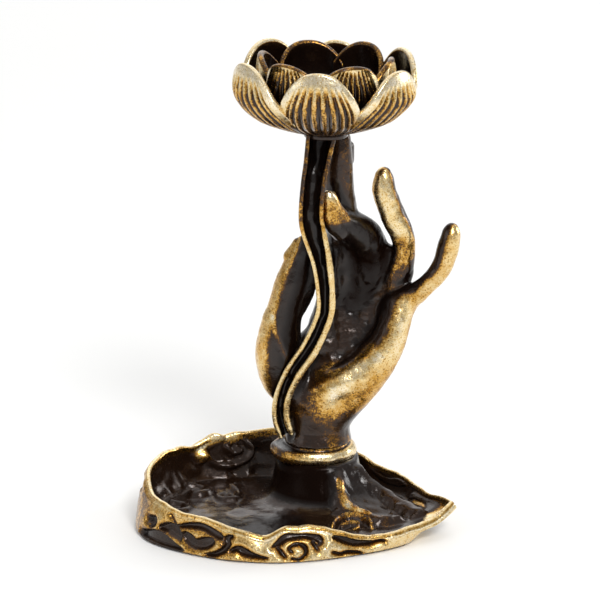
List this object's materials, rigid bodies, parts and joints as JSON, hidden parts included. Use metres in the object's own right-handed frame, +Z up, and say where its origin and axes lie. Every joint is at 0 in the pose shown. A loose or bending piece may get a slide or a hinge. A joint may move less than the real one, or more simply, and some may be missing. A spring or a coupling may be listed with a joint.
{
  "type": "backflow incense burner",
  "caption": "Cast hand on a leaf-shaped dish holding a lotus cup, with an open channel that leads backflow incense smoke from the cup down to the dish.",
  "frame": {"origin": "on the table, at the middle of the overall box in plan", "axes": "+Z up, palm and channel face -Y, the tip of the leaf points to +X"},
  "size_m": [0.066, 0.0455, 0.0988],
  "materials": {
    "antique_brass": "dark brown patina, rubbed to gold on edges, satin",
    "rubbed_brass": "rubbed gold, satin",
    "steel": "zinc plated"
  },
  "bodies": {
    "base": {"leaf_dish": "antique_brass", "wrist_collar": "rubbed_brass", "hand": "antique_brass", "wrist_screw": "steel", "wrist_washer": "steel", "wrist_dowel": "steel", "stem_channel": "antique_brass", "smoke_nipple": "rubbed_brass"},
    "lotus": {"outer_petals": "antique_brass", "inner_petals": "antique_brass", "cone_seat": "rubbed_brass"}
  },
  "joints": [
    {"name": "lotus_lift", "type": "slide", "parent": "base", "child": "lotus", "axis": [0, 0, 1], "range_m": [0, 0.015]}
  ]
}
